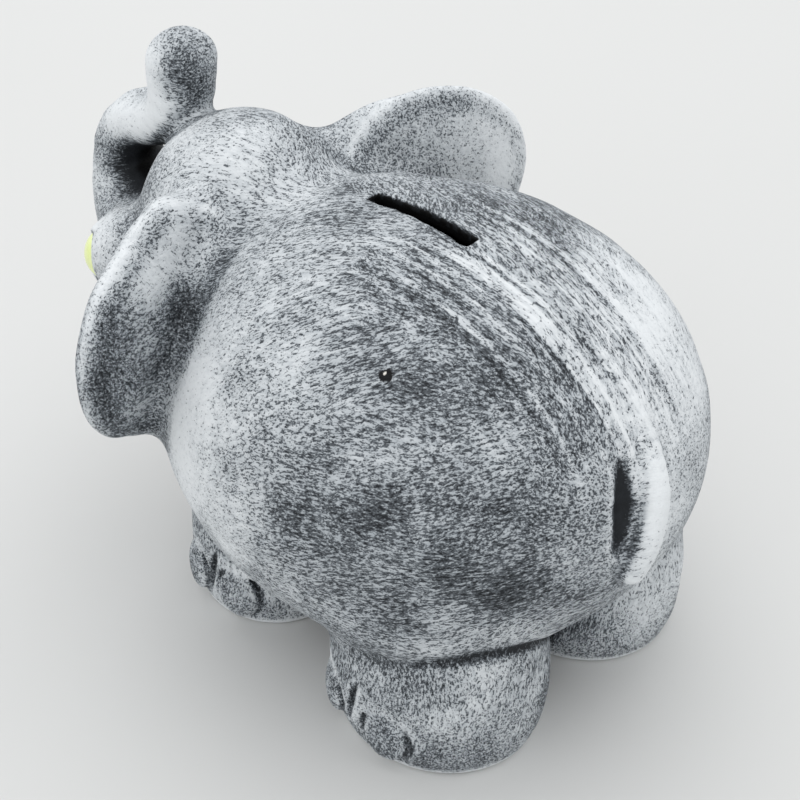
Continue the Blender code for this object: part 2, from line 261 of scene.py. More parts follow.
def smoothed(line, radii, steps=3):
    """The same line as a smooth curve through its corners."""
    rows = [tuple(a) + (r,) for a, r in zip(line, radii)]
    rows = [rows[0]] + rows + [rows[-1]]
    out = []
    for a, b, c, d in zip(rows, rows[1:], rows[2:], rows[3:]):
        for i in range(steps):
            t = i / steps
            out.append([0.5 * (2 * bb + (cc - aa) * t + (2 * aa - 5 * bb + 4 * cc - dd) * t * t
                               + (3 * bb - aa - 3 * cc + dd) * t ** 3) for aa, bb, cc, dd in zip(a, b, c, d)])
    out.append(list(rows[-1]))
    return [row[:3] for row in out], [row[3] for row in out]


def chain(p, line, radii, k):
    """A string of rods through the points of a line."""
    out = None
    for (start, first), (end, last) in zip(zip(line, radii), zip(line[1:], radii[1:])):
        piece = rod(p, start, end, first, last)
        out = piece if out is None else near(out, piece, k)
    return out


def within(p, space):
    """Which points lie in a box."""
    low, high = space
    return np.where(np.all((p > np.array(low)) & (p < np.array(high)), axis=1))[0]


def only(p, space, lump):
    """A lump's distance, worked out only for the points in its box."""
    out = np.full(len(p), FAR, np.float32)
    reach = within(p, space)
    if len(reach):
        out[reach] = lump(p[reach])
    return out


def leg(q, spec, angles, nails=True):
    """A barrelled leg with a rounded sole and raised toenails in their grooves."""
    x, y, wide, deep = spec
    u = q[:, 0] - x
    v = (q[:, 1] - y) * (wide / deep)
    z = q[:, 2]
    heights = [row[0] for row in LEG_PROFILE]
    shares = [row[1] for row in LEG_PROFILE]
    radius = wide * sum(np.interp(z + lift, heights, shares) for lift in (-1.2, 0, 1.2)) / 3
    around = np.sqrt(u * u + v * v)
    side = (around - radius) * 0.97
    top = np.sqrt(around ** 2 + np.maximum(z - LEG_TOP, 0) ** 2) - wide * LEG_TOP_SHARE
    body = np.maximum(side, np.where(z > LEG_TOP, top, -1e3))
    form = both(body, -z, FILLET["sole"])
    if nails:
        reach = within(q, ((x - wide - 8, y - deep - 8, -3), (x + wide + 8, y + deep + 8, 26)))
        if len(reach):
            form[reach] = toenails(form[reach], q[reach], spec, angles)
    return form


def toenails(form, p, spec, angles):
    """Cuts a groove for each nail and a crevice between neighbours, then adds the nails."""
    x, y, wide, deep = spec
    seats = []
    for angle in angles:
        a = math.radians(angle)
        facing = math.degrees(math.atan2(math.sin(a) / wide, math.cos(a) / deep))
        at = (x + math.sin(a) * wide * 0.95, y - math.cos(a) * deep * 0.95, NAIL_HEIGHT)
        seats.append((at, turn(facing, NAIL_LEAN, 0)))
    for at, turned in seats:
        form = cut(form, ellipsoid(p, at, NAIL_GROOVE, turned), FILLET["groove"])
    for (one, _), (two, _) in zip(seats, seats[1:]):
        out = np.array([((one[0] + two[0]) / 2 - x) / wide, ((one[1] + two[1]) / 2 - y) / deep])
        out /= np.linalg.norm(out)
        facing = math.degrees(math.atan2(out[0] / wide, -out[1] / deep))
        at = (x + out[0] * wide, y + out[1] * deep, CREVICE_HEIGHT)
        crevice = ellipsoid(p, at, CREVICE_RADII, turn(facing, 0, CREVICE_LEAN))
        form = cut(form, crevice, FILLET["crevice"])
    for at, turned in seats:
        nail = ellipsoid(p, at, NAIL_RADII, turned)
        form = near(form, both(nail, NAIL_FOOT - p[:, 2], FILLET["nail foot"]), FILLET["nail"])
    return form


def groups(p, detail=True):
    """Distances to the separate lumps of the form, a row for each."""
    folded = p.copy()
    folded[:, 0] = np.abs(p[:, 0])
    left_ear = only(p, EAR_SPACE, lambda spot: ear_form(spot, detail, True))
    right_ear = only(from_right_ear(p), EAR_SPACE, lambda spot: ear_form(spot, detail, False))
    body = body_form(p, folded)
    trunk = only(p, TRUNK_SPACE, trunk_form)
    if detail:
        body = eyelids(folded, body)
        trunk = nostrils(folded, trunk)
    lip = only(p, LIP_SPACE, lambda spot: ellipsoid(spot, *LIP))
    tail = only(p, TAIL_SPACE, tail_form)
    right = (p[:, 0] < 0)[:, None]
    aside = folded - right * np.array(RIGHT_REAR, np.float32)
    rear = only(aside, REAR_SPACE, lambda spot: leg(spot, REAR_LEG, REAR_NAILS, detail))
    front = only(folded, FRONT_SPACE, lambda spot: leg(spot, FRONT_LEG, FRONT_NAILS, detail))
    return np.stack([body, np.minimum(left_ear, right_ear), trunk, lip, tail, rear, front], 0)


def body_form(p, folded):
    """Torso, shoulders, head, haunches, brows and the crest; folded is p with X made positive."""
    flank = p.copy()
    flank[:, 0] *= np.where(p[:, 0] < 0, RIGHT_FLANK, 1).astype(np.float32)
    body = ellipsoid(flank, *TORSO, turn(0, TORSO_TILT, 0))
    body = near(body, ellipsoid(p, *SHOULDER), FILLET["shoulder"])
    body = near(body, ellipsoid(p, *HEAD), FILLET["head"])
    body = near(body, ellipsoid(folded, *HAUNCH), FILLET["haunch"])
    brow = np.sqrt(((folded - np.array(BROW, np.float32)) ** 2).sum(1)) - BROW_RADIUS
    body = near(body, brow, FILLET["brow"])
    return near(body, only(p, CREST_SPACE, crest_form), FILLET["crest"])


def from_right_ear(p):
    """Points mirrored so that the right ear falls on the left one."""
    return p * np.array((-1, 1, 1), np.float32) - np.array(RIGHT_EAR, np.float32)


def ear_place(q, left):
    """Positions along the ear's own axes; the left ear's upper outline is flattened a little."""
    local = (q - np.array(EAR[0], np.float32)) @ turn(*EAR_TURN)
    if left:
        amount, middle, spread = EAR_FLAT
        heading = np.degrees(np.arctan2(local[:, 2], local[:, 0]))
        size = 1 + amount * band(heading, middle, spread)
        local = local * np.stack([size, np.ones_like(size), size], 1).astype(np.float32)
    return local


def ear_form(q, detail, left):
    """An ear, its root and its fillets to the neck. The dish is cut last."""
    local = ear_place(q, left)
    ear = ellipsoid(local, (0, 0, 0), EAR[1])
    ear = near(ear, rod(q, EAR_ROOT, EAR[0], EAR_ROOT_RADIUS, EAR[1][1] - 1), FILLET["ear root"])
    ear = near(ear, rod(local, *EAR_TOP), FILLET["ear top"])
    ear = near(ear, rod(local, *EAR_FOOT), FILLET["ear foot"])
    if detail:
        ear = cut(ear, ellipsoid(local, *EAR_DISH), FILLET["ear dish"])
    return ear


def trunk_form(p):
    """The trunk, a little wider than it is thick."""
    slim = p.copy()
    slim[:, 0] /= TRUNK_FLATTEN
    line, radii = smoothed([(0, y, z) for y, z, r in TRUNK_LINE], [r for y, z, r in TRUNK_LINE])
    return chain(slim, line, radii, 0.5)


def tail_form(p):
    return chain(p, *smoothed(TAIL_LINE, TAIL_RADII), 0.5)


def recess_form(p):
    return chain(p, RECESS_LINE, RECESS_RADII, 0.5)


def crest_form(p):
    return chain(p, CREST_LINE, CREST_RADII, 1)


def eyelids(q, body):
    """Upper and lower eyelids over the front of each bulging eye."""
    reach = within(q, EYE_SPACE)
    if len(reach):
        spot = q[reach] - np.array(EYE, np.float32)
        away = np.sqrt((spot ** 2).sum(1))
        part = body[reach]
        for facing, edge, thickness in EYELIDS:
            height = spot @ np.array(facing, np.float32)
            lid = both(away - EYE_RADIUS - thickness, edge - height, FILLET["lid edge"])
            part = near(part, lid, FILLET["lid"])
        body[reach] = part
    return body


def nostrils(q, trunk):
    """Two dimples in the front of the raised tip."""
    return cut(trunk, ellipsoid(q, *NOSTRIL, turn(0, NOSTRIL_TILT, 0)), FILLET["nostril"])


def joined(g, p):
    """The lumps as one form. The haunch hangs over the back of the rear leg in a crisp fold, and the
    trunk runs smoothly into the cheeks."""
    fold = 1.0 + 4.5 * ramp(-p[:, 1], -50, -24)
    cheek = 5 + 7 * ramp(-p[:, 2], -118, -104)
    s = near(g[BODY], g[EARS], FILLET["ear"])
    s = near(s, g[TRUNK], cheek)
    s = near(s, g[REAR], fold)
    s = near(s, g[FRONT], FILLET["front leg"])
    s = near(s, g[MOUTH], FILLET["lip"])
    return near(s, g[TAIL], FILLET["tail"])


def slot_gap(p):
    """The knife-cut coin slot: a little askew, its sides wavering."""
    middle, slant, curve = SLOT_BOW
    y = p[:, 1] - SLOT_Y
    x = p[:, 0] - middle - slant * y - curve * y * y
    waver = 0.12 * np.sin(0.9 * y + 0.4 * np.sign(x)) + 0.06 * np.sin(2.3 * y + 1.7 * np.sign(x))
    wide = np.abs(x) - SLOT_HALF[0] - waver
    long = np.abs(y) - SLOT_HALF[1]
    return np.maximum(np.maximum(wide, long), SLOT_FLOOR - p[:, 2])


def depth_inside(p):
    """Distance to the hollow that coins lie in, which runs down into the legs."""
    g = groups(p, False)
    s = near(near(g[BODY], g[REAR], FILLET["leg hollow"]), g[FRONT], FILLET["leg hollow"])
    return s + WALL


def outside(p):
    """The outer form with nothing hollowed, slotted or bored, and the lumps it is joined from."""
    g = groups(p)
    recess = only(p, RECESS_SPACE, recess_form)
    return cut(joined(g, p), recess, FILLET["recess"]), g


def field(p):
    """Distance to the whole casting: the outer form, hollowed, with the coin slot and the belly hole."""
    s = outside(p)[0]
    core = within(p, HOLLOW_SPACE)
    if len(core):
        spot = p[core]
        part = np.maximum(s[core], -depth_inside(spot))
        part = cut(part, slot_gap(spot), FILLET["slot"])
        round_hole = np.sqrt(spot[:, 0] ** 2 + (spot[:, 1] - HOLE_Y) ** 2)
        part = cut(part, np.maximum(round_hole - HOLE_RADIUS, spot[:, 2] - HOLE_TOP), FILLET["hole"])
        part = cut(part, np.maximum(round_hole - SEAT_RADIUS, spot[:, 2] - SEAT_Z), FILLET["hole"])
        s[core] = part
    return s


def rise(p, here, step=0.2):
    """Which way the field grows, from its value here and a step along each axis."""
    out = np.empty_like(p)
    for axis in range(3):
        shift = np.zeros(3, np.float32)
        shift[axis] = step
        out[:, axis] = (field(p + shift) - here) / step
    return out


# ---- One closed net over the whole form ----------------------------------------------------------
def sample():
    """Field values on a grid, worked out only near the form's surface."""
    block = 4
    counts = [int(math.ceil((HIGHEST[i] - LOWEST[i]) / CELL / block)) + 1 for i in range(3)]
    columns = math.ceil(-LOWEST[0] / CELL - 0.5)
    start = np.array([-(columns + 0.5) * CELL, LOWEST[1], LOWEST[2]], np.float32)
    corner = np.stack(np.meshgrid(*[np.arange(n) for n in counts], indexing="ij"), -1).reshape(-1, 3)
    middle = start + (corner * block + (block - 1) / 2) * CELL
    rough = field(middle.astype(np.float32))
    values = rough.reshape(counts)
    for axis in range(3):
        values = np.repeat(values, block, axis)
    keep = np.abs(rough) < CELL * block * 1.25
    base = corner[keep] * block
    inside = np.stack(np.meshgrid(*[np.arange(block)] * 3, indexing="ij"), -1).reshape(-1, 3)
    at = (base[:, None, :] + inside[None]).reshape(-1, 3)
    for low in range(0, len(at), BATCH):
        some = at[low:low + BATCH]
        values[some[:, 0], some[:, 1], some[:, 2]] = field((start + some * CELL).astype(np.float32))
    return values, start


def net(values, start):
    """Quads with one corner in every grid cell that the surface crosses."""
    solid = values < 0
    n = np.array(values.shape) - 1
    corners = [(i, j, k) for i in (0, 1) for j in (0, 1) for k in (0, 1)]
    count = np.zeros(n, np.int8)
    for i, j, k in corners:
        count += solid[i:n[0] + i, j:n[1] + j, k:n[2] + k]
    cells = np.argwhere((count > 0) & (count < 8))
    number = np.full(n, -1, np.int32)
    number[tuple(cells.T)] = np.arange(len(cells))
    total = np.zeros((len(cells), 3))
    hits = np.zeros(len(cells))
    for a in corners:
        for b in corners:
            if sum(b) - sum(a) != 1 or any(bb < aa for aa, bb in zip(a, b)):
                continue
            va = values[tuple((cells + a).T)]
            vb = values[tuple((cells + b).T)]
            crossed = (va < 0) != (vb < 0)
            share = np.where(crossed, va / np.where(crossed, va - vb, 1), 0)
            point = np.array(a) + share[:, None] * (np.array(b) - np.array(a))
            total[crossed] += point[crossed]
            hits[crossed] += 1
    points = start + (cells + total / hits[:, None]) * CELL
    quads = []
    for axis in range(3):
        ahead = [slice(None)] * 3
        behind = [slice(None)] * 3
        ahead[axis] = slice(1, None)
        behind[axis] = slice(None, -1)
        first = solid[tuple(behind)]
        second = solid[tuple(ahead)]
        edges = np.argwhere(first != second)
        leaving = first[tuple(edges.T)]
        u, v = [other for other in range(3) if other != axis]
        ring = []
        for du, dv in ((-1, -1), (0, -1), (0, 0), (-1, 0)):
            spot = edges.copy()
            spot[:, u] += du
            spot[:, v] += dv
            ring.append(number[tuple(spot.T)])
        ring = np.stack(ring, 1)
        forward = leaving if axis != 1 else ~leaving    # the ring runs the other way round about Y
        quads.append(np.where(forward[:, None], ring, ring[:, ::-1]))
    columns = round(-start[0] / CELL - 0.5)
    return points.astype(np.float32), np.concatenate(quads), cells[:, 0] == columns


def neighbour_mean(points, quads):
    """The middle of each corner's neighbours."""
    total = np.zeros_like(points)
    hits = np.zeros(len(points), np.float32)
    for a, b in ((0, 1), (1, 2), (2, 3), (3, 0)):
        for one, two in ((a, b), (b, a)):
            for axis in range(3):
                total[:, axis] += np.bincount(quads[:, one], points[quads[:, two], axis], len(points))
            hits += np.bincount(quads[:, one], minlength=len(points))
    return total / hits[:, None]


def settle(points, quads, middle):
    """Evens the net out and pulls it onto the form; the middle column stays on the mould seam."""
    for last in (False, True):
        points = points * 0.5 + neighbour_mean(points, quads) * 0.5
        points[middle, 0] = 0
        for _ in range(2 if last else 1):
            s = field(points)
            g = rise(points, s)
            move = -s[:, None] * g / np.maximum((g * g).sum(1), 0.2)[:, None]
            size = np.sqrt((move * move).sum(1))[:, None]
            points = points + move * np.minimum(1, 0.6 * CELL / np.maximum(size, 1e-6))
            points[middle, 0] = 0
    return points.astype(np.float32)


def normals_of(points, quads):
    """The way out of the surface at each corner."""
    a, b, c, d = (points[quads[:, i]] for i in range(4))
    face_normal = np.cross(c - a, d - b)
    out = np.zeros_like(points)
    for corner in range(4):
        for axis in range(3):
            out[:, axis] += np.bincount(quads[:, corner], face_normal[:, axis], len(points))
    return out / np.maximum(np.linalg.norm(out, axis=1), 1e-9)[:, None]


# ---- Hand marks, paint, and painted light and shade, as numbers on the net's corners -------------
def waves(p, size, seed):
    """A smooth irregular pattern between about -1 and 1, with lumps of the given size in millimetres."""
    pick = np.random.default_rng(seed)
    total = np.zeros(len(p), np.float32)
    for _ in range(14):
        heading = pick.normal(size=3)
        heading /= np.linalg.norm(heading)
        total += np.sin(p @ (heading * pick.uniform(0.7, 1.5) * math.pi / size).astype(np.float32)
                        + np.float32(pick.uniform(0, 6.28)))
    return total / 4.5


def blob(p, centre, radii):
    """1 at the centre, fading to nothing past the radii."""
    q = (p - np.array(centre, np.float32)) / np.array(radii, np.float32)
    return np.exp(-(q * q).sum(1))


def patches(p, rows):
    """The sum of soft patches, each given as an amount, a centre and radii."""
    total = np.zeros(len(p), np.float32)
    for amount, centre, radii in rows:
        total += amount * blob(p, centre, radii)
    return total


def haunch_fold(p, lumps, centre, width):
    """1 along the crease where the haunch hangs over the back of the rear leg."""
    return band(lumps[REAR] - lumps[BODY], centre, width) * ramp(p[:, 1], 46, 62) * ramp(p[:, 2], 24, 34)


def shape_up(points, normals, skin, lumps):
    """Small unevenness of the casting, and the drag of the finishing brush."""
    x, y, z = points.T
    lift = (0.16 * waves(points, 17, 1) + 0.1 * waves(points, 7, 2)) * ramp(z, 0.2, 4)
    spine = band(x, 0, 20) * ramp(z, 96, 124) * ramp(y, 16, 34)
    lift += spine * (0.22 * np.sin(x * 1.5 + 0.5 * np.sin(y * 0.09)) + 0.12 * np.sin(x * 0.83 + 1.3))
    wrinkle = band(x, 0, 9) * ramp(-y, 108, 116) * ramp(z, 66, 80)
    lift += wrinkle * 0.22 * np.sin((z - 0.35 * y) * 0.85)
    lift -= 0.7 * haunch_fold(points, lumps, 0, 1.1)
    return points + normals * (lift * skin)[:, None]


def folds(points, normals):
    """How deep each corner lies in a crease, and how sharply the form bulges there."""
    def form(p):
        return outside(p)[0]

    crease = np.zeros(len(points), np.float32)
    for reach in (2.5, 6.0, 12.0):
        crease += np.clip(1 - form(points + normals * reach) / reach, 0, 1) / 3
    bulge = -6 * form(points)
    r = 2.5
    for axis in range(3):
        shift = np.zeros(3, np.float32)
        shift[axis] = r
        bulge += form(points + shift) + form(points - shift)
    return crease, bulge / (r * r)


def ear_paint(p):
    """Paint on the backs of the ears and in their dishes, and 1 for the back, 0 for the dish."""
    on_left = p[:, 0] > 0
    local = np.where(on_left[:, None], ear_place(p, True), ear_place(from_right_ear(p), False))
    out = np.sqrt((local[:, 0] / EAR[1][0]) ** 2 + (local[:, 2] / EAR[1][2]) ** 2)
    behind = ramp(local[:, 1], -3, 1)
    flat = local * np.array((1, 0, 1), np.float32)
    rim = 0.16 * band(out, 1.02, 0.03) - 0.12 * band(out, 0.88, 0.07)
    smears = np.where(on_left, patches(flat, LEFT_EAR_PAINT), 0.10 + patches(flat, RIGHT_EAR_PAINT))
    dished = 0.12 * band(out, 1.0, 0.08) - 0.22 * band(out, 0.45, 0.35)
    return behind * (rim + smears) + (1 - behind) * dished, behind


def cover_with_painted_light(p, lumps, crease, bulge):
    """How much pale paint the brush left, with painted highlight and painted shade in some places: about 0.5
    as a rule, 1 at most, below 0 bare black body, and far below 0 painted shade.
    """
    z = p[:, 2]
    on_ear = ramp(lumps[EARS] - lumps[BODY], 4, -4)
    on_leg = ramp(lumps[BODY] - np.minimum(lumps[REAR], lumps[FRONT]), 0, 3)
    ear_coat, behind = ear_paint(p)
    # Painted shade in the hollow beside the tail.
    recess_shade = ramp(-joined(lumps, p), 0.4, 2.4)
    c = 0.50 + patches(p, PAINT_AND_LIGHT) - 0.8 * recess_shade + on_ear * ear_coat
    c += 0.28 * np.clip(bulge * 2.2, -0.3, 0.9) * (1 - 0.65 * on_ear)
    stained = (1 - patches(p, PALE_CREASES)) * (1 - 0.6 * on_ear * behind) * (1 - 0.2 * on_leg)
    c -= 0.5 * ramp(crease, 0.12, 0.8) * stained
    c += 0.25 * band(z, 1.5, 1.6) * on_leg
    c += 0.14 * haunch_fold(p, lumps, 3.0, 1.6) - 0.45 * haunch_fold(p, lumps, -0.3, 0.8)
    c += 0.08 * waves(p, 34, 5) + 0.05 * waves(p, 13, 6)
    return np.clip(c, -0.9, 1)


def brush_and_shade_marks(points, lumps, outer, crease, bulge):
    """The numbers that the material reads: paint with some painted highlight and shade in it, the inner skin
    that is painted in shade, and the regions of the brush strokes.
    """
    x, y, z = points.T
    legs = np.minimum(lumps[REAR], lumps[FRONT])
    return {
        "cover_and_painted_light": cover_with_painted_light(points, lumps, crease, bulge),
        # 1 on the inner skin; the material paints it near black as painted shade.
        "inside": 1 - ramp(outer, -3.2, -1.8),
        "mirror": ramp(-x, -4, 4),
        "back": band(x, 4, 34) * ramp(z, 92, 108) * ramp(y + 0.5 * np.abs(x), 2, 22),
        "upright": ramp(legs - lumps[BODY], 6, -5),
        "ear": ramp(lumps[EARS] - lumps[BODY], 8, -6),
        "crown": ramp(np.minimum(-y - 52, 30 - lumps[TRUNK]), 0, 16) * ramp(lumps[EARS] - lumps[BODY], -4, 6),
    }


# ---- Pieces --------------------------------------------------------------------------------------
def who_owns(points, quads):
    """The part that each quad belongs to, by the nearest lump of the form."""
    centre = points[quads].mean(1).astype(np.float32)
    g = groups(centre, False)
    hollow = np.abs(depth_inside(centre)) < 0.9
    skin = np.abs(outside(centre)[0]) < 0.9
    deep = hollow & ~skin
    hollowed = np.isin(np.arange(len(g)), (BODY, REAR, FRONT))
    g[:, deep] = np.where(hollowed[:, None], g[:, deep], 1e3)
    wall = ~skin & ~hollow
    g[1:, wall] = 1e3
    nearest = np.argmin(g, 0)
    return np.where(centre[:, 0] > 0, np.array(LEFT_PARTS)[nearest], np.array(RIGHT_PARTS)[nearest])


def tidy_owners(owner, quads, count):
    """Takes small islands away: a quad goes to whichever part most of its neighbours belong to.
    The two shells, parts 0 and 1, keep the mould seam between them."""
    for _ in range(3):
        votes = np.zeros((count, len(PARTS)), np.int16)
        for corner in range(4):
            for part in range(len(PARTS)):
                votes[:, part] += np.bincount(quads[owner == part, corner], minlength=count).astype(np.int16)
        best = np.argmax(votes[quads].sum(1), 1)
        between_shells = (owner < 2) & (best < 2)
        owner = np.where(between_shells, owner, best)
    return owner


def show(name, mesh, material):
    """Puts a smooth-shaded mesh into the scene."""
    mesh.polygons.foreach_set("use_smooth", np.ones(len(mesh.polygons), bool))
    mesh.materials.append(material)
    made = bpy.data.objects.new(name, mesh)
    bpy.context.scene.collection.objects.link(made)
    return made


def piece(name, points, quads, values, normals, material):
    """Some quads of the net as an object of their own, shaded with the whole net's normals."""
    used, index = np.unique(quads, return_inverse=True)
    own = index.reshape(-1, 4)
    co = points[used].copy()
    co[:, 1] += FRAME_Y
    mesh = bpy.data.meshes.new(name)
    mesh.from_pydata((co * 0.001).tolist(), [], own.tolist())
    for key, data in values.items():
        attribute = mesh.attributes.new(key, "FLOAT", "POINT")
        attribute.data.foreach_set("value", np.ascontiguousarray(data[used], np.float32))
    made = show(name, mesh, material)
    mesh.normals_split_custom_set_from_vertices(normals[used].tolist())
    return made


# ---- Materials -----------------------------------------------------------------------------------
class Graph:
    """A short way to write shader nodes."""

    def __init__(self, name):
        self.material = bpy.data.materials.new(name)
        self.material.use_nodes = True
        self.tree = self.material.node_tree
        self.tree.nodes.clear()

    def put(self, kind, inputs, **settings):
        node = self.tree.nodes.new(kind)
        for key, value in settings.items():
            setattr(node, key, value)
        for key, value in inputs.items():
            socket = node.inputs[key]
            if isinstance(value, bpy.types.NodeSocket):
                self.tree.links.new(value, socket)
            else:
                socket.default_value = value
        return node

    def math(self, op, a, b=0.0, c=0.0):
        return self.put("ShaderNodeMath", {0: a, 1: b, 2: c}, operation=op).outputs[0]

    def vec(self, op, a, b=(0, 0, 0), scale=None):
        """A vector operation; with scale, b isn't used."""
        inputs = {0: a, 1: b}
        if scale is not None:
            inputs = {0: a, "Scale": scale}
        node = self.put("ShaderNodeVectorMath", inputs, operation=op)
        return node.outputs["Value"] if op in ("DOT_PRODUCT", "LENGTH", "DISTANCE") else node.outputs[0]

    def mix(self, share, a, b):
        node = self.put("ShaderNodeMix", {0: share, 6: a, 7: b}, data_type="RGBA")
        return node.outputs[2]

    def mix_vector(self, share, a, b):
        node = self.put("ShaderNodeMix", {0: share, 4: a, 5: b}, data_type="VECTOR")
        return node.outputs[1]

    def step(self, value, low, high):
        return self.put("ShaderNodeMapRange", {0: value, 1: low, 2: high, 3: 0.0, 4: 1.0},
                        interpolation_type="SMOOTHSTEP").outputs[0]

    def noise(self, at, size, detail, rough, colour=False):
        node = self.put("ShaderNodeTexNoise", {"Vector": at, "Scale": 1.0 / size, "Detail": detail,
                                               "Roughness": rough}, noise_dimensions="3D")
        return node.outputs[1 if colour else 0]

    def warped(self, at, size, detail, rough, reach):
        """A position that wanders by up to reach millimetres."""
        return self.vec("ADD", at, self.vec("SCALE", self.noise(at, size, detail, rough, True), scale=reach))

    def bump(self, height, strength, distance):
        """A surface direction from a height; distance is in metres."""
        settings = {"Height": height, "Strength": strength, "Distance": distance}
        return self.put("ShaderNodeBump", settings).outputs[0]

    def attribute(self, name):
        return self.put("ShaderNodeAttribute", {}, attribute_name=name).outputs["Fac"]

    def place(self):
        """Position on the piece in millimetres, in the sizes used above."""
        at = self.put("ShaderNodeTexCoord", {}).outputs["Object"]
        at = self.vec("SCALE", at, scale=1000.0)
        return self.vec("SUBTRACT", at, (0, FRAME_Y, 0))

    def finish(self, inputs):
        shader = self.put("ShaderNodeBsdfPrincipled", inputs)
        out = self.put("ShaderNodeOutputMaterial", {})
        self.tree.links.new(shader.outputs[0], out.inputs[0])
        return self.material


def rgb(value):
    """A colour given as 0 to 255 display values."""
    lin = [(c / 255 / 12.92) if c / 255 <= 0.04045 else ((c / 255 + 0.055) / 1.055) ** 2.4 for c in value]
    return (*lin, 1.0)


def slot_shadow(g, at):
    """1 inside the outline of the coin slot, 0 outside."""
    middle, slant, curve = SLOT_BOW
    part = g.put("ShaderNodeSeparateXYZ", {0: at})
    y = g.math("SUBTRACT", part.outputs[1], SLOT_Y)
    bow = g.math("MULTIPLY_ADD", g.math("MULTIPLY", y, y), curve, g.math("MULTIPLY_ADD", y, slant, middle))
    wander = g.math("MULTIPLY", g.math("SUBTRACT", g.noise(at, 2.2, 3.0, 0.6), 0.5), 0.7)
    aside = g.math("ADD", g.math("ABSOLUTE", g.math("SUBTRACT", part.outputs[0], bow)), wander)
    along = g.math("ADD", g.math("ABSOLUTE", y), wander)
    wide = g.step(aside, SLOT_HALF[0] + 0.25, SLOT_HALF[0] - 0.05)
    long = g.step(along, SLOT_HALF[1] + 0.25, SLOT_HALF[1] - 0.05)
    high = g.math("GREATER_THAN", part.outputs[2], SLOT_FLOOR - 4)
    return g.math("MULTIPLY", g.math("MULTIPLY", wide, long), high)


def stroke_heading(g, at, shake):
    """The way the brush went: it changes from region to region at ragged borders, and sways a little."""
    heading = LEFT_STROKES
    for name, way in STROKES.items():
        here = g.math("ADD", g.attribute(name), g.math("MULTIPLY", shake, 1.3))
        heading = g.mix_vector(g.math("GREATER_THAN", here, 0.5), heading, way)
    spots = {"Vector": g.warped(at, 20, 2.0, 0.6, 26.0), "Scale": 1 / 24.0}
    patch = g.put("ShaderNodeTexVoronoi", spots).outputs["Color"]
    sway = g.vec("SCALE", g.vec("SUBTRACT", patch, (0.5, 0.5, 0.5)), scale=0.5)
    return g.vec("NORMALIZE", g.vec("ADD", heading, sway))


def chip_marks(g, at):
    """Distances to the pit of the chip in the back and to the pale crumb at its edge."""
    x, y, z = CHIP
    pit = g.vec("DISTANCE", g.warped(at, 1.6, 2.0, 0.6, 2.2), (x + 1.1, y + 1.1, z + 1.1))
    crumb = g.vec("DISTANCE", g.warped(at, 1.1, 1.0, 0.5, 1.5), (x + 0.9, y + 0.4, z + 0.8))
    return pit, crumb


def patina_and_shade():
    """Black body under a dry-brushed pale coat that caught only on the raised grain, with near-black painted
    shade on the inner skin, in the coin slot and where the paint level runs far below 0.
    """
    g = Graph("brushed_patina_and_shade")
    at = g.place()
    # The paint level, with painted highlight and painted shade in it.
    cover_and_painted_light = g.attribute("cover_and_painted_light")
    shake = g.math("SUBTRACT", g.noise(at, 9, 3.0, 0.6), 0.5)
    heading = stroke_heading(g, at, shake)
    along = g.vec("DOT_PRODUCT", at, heading)

    def stretched(times):
        """Positions that make a noise times as long along the strokes."""
        return g.vec("SUBTRACT", at, g.vec("SCALE", heading, scale=g.math("MULTIPLY", along, 1 - 1 / times)))

    grain = g.noise(stretched(3.2), 0.60, 2.0, 0.55)
    fleck = g.noise(stretched(1.8), 0.34, 1.0, 0.5)
    streak = g.noise(stretched(9.0), 1.3, 3.0, 0.65)
    cloud = g.noise(at, 13, 4.0, 0.62)
    raised = g.math("MULTIPLY_ADD", fleck, 0.35, g.math("MULTIPLY", grain, 0.65))

    spine = g.attribute("back")
    across = g.vec("MULTIPLY", at, (1.0, 0.02, 0.02))
    combed = g.math("MULTIPLY_ADD", spine, 0.25, 0.55)
    ribs = g.math("MULTIPLY", g.math("SUBTRACT", g.noise(across, 2.1, 2.0, 0.55), 0.5), spine)
    level = g.math("MULTIPLY_ADD", g.math("SUBTRACT", streak, 0.5), combed, cover_and_painted_light)
    level = g.math("MULTIPLY_ADD", g.math("SUBTRACT", cloud, 0.5), 0.34, level)
    level = g.math("ADD", ribs, level)
    need = g.math("MULTIPLY_ADD", level, -0.46, 0.73)
    gap = g.math("SUBTRACT", raised, need)
    coat = g.step(gap, -0.05, 0.06)
    veil = g.step(gap, -0.2, 0.0)

    body = g.mix(g.noise(at, 3, 3.0, 0.6), rgb((20, 22, 24)), rgb((46, 49, 53)))
    wash = g.mix(cloud, rgb((92, 97, 102)), rgb((128, 134, 140)))
    pale = g.mix(g.step(level, 0.35, 0.95), rgb((166, 172, 177)), rgb((226, 229, 231)))
    colour = g.mix(g.math("MULTIPLY", veil, 0.75), body, wash)
    colour = g.mix(coat, colour, pale)

    # Painted shade: near black on the inner skin, in the coin slot and where the paint level runs far below
    # 0, as in the recess beside the tail and the trunk's loop.
    deep_shade = g.step(g.math("MULTIPLY_ADD", shake, 0.4, cover_and_painted_light), -0.35, -0.75)
    painted_shade = g.math("MAXIMUM", g.math("MAXIMUM", g.attribute("inside"), deep_shade), slot_shadow(g, at))
    colour = g.mix(painted_shade, colour, rgb((9, 9, 10)))
    pit, crumb = chip_marks(g, at)
    colour = g.mix(g.step(pit, 2.5, 1.9), colour, rgb((24, 25, 26)))
    colour = g.mix(g.step(crumb, 1.15, 0.85), colour, rgb((232, 228, 220)))

    height = g.math("MULTIPLY_ADD", raised, 0.7, g.math("MULTIPLY", streak, 0.5))
    height = g.math("MULTIPLY_ADD", coat, 0.2, height)
    height = g.math("MULTIPLY_ADD", g.step(pit, 2.2, 1.2), -0.8, height)
    height = g.math("MULTIPLY_ADD", g.step(crumb, 1.2, 0.3), 1.6, height)
    return g.finish({"Base Color": colour, "Roughness": g.math("MULTIPLY_ADD", coat, 0.2, 0.62),
                     "Normal": g.bump(height, 0.55, 0.0006), "Specular IOR Level": 0.14})


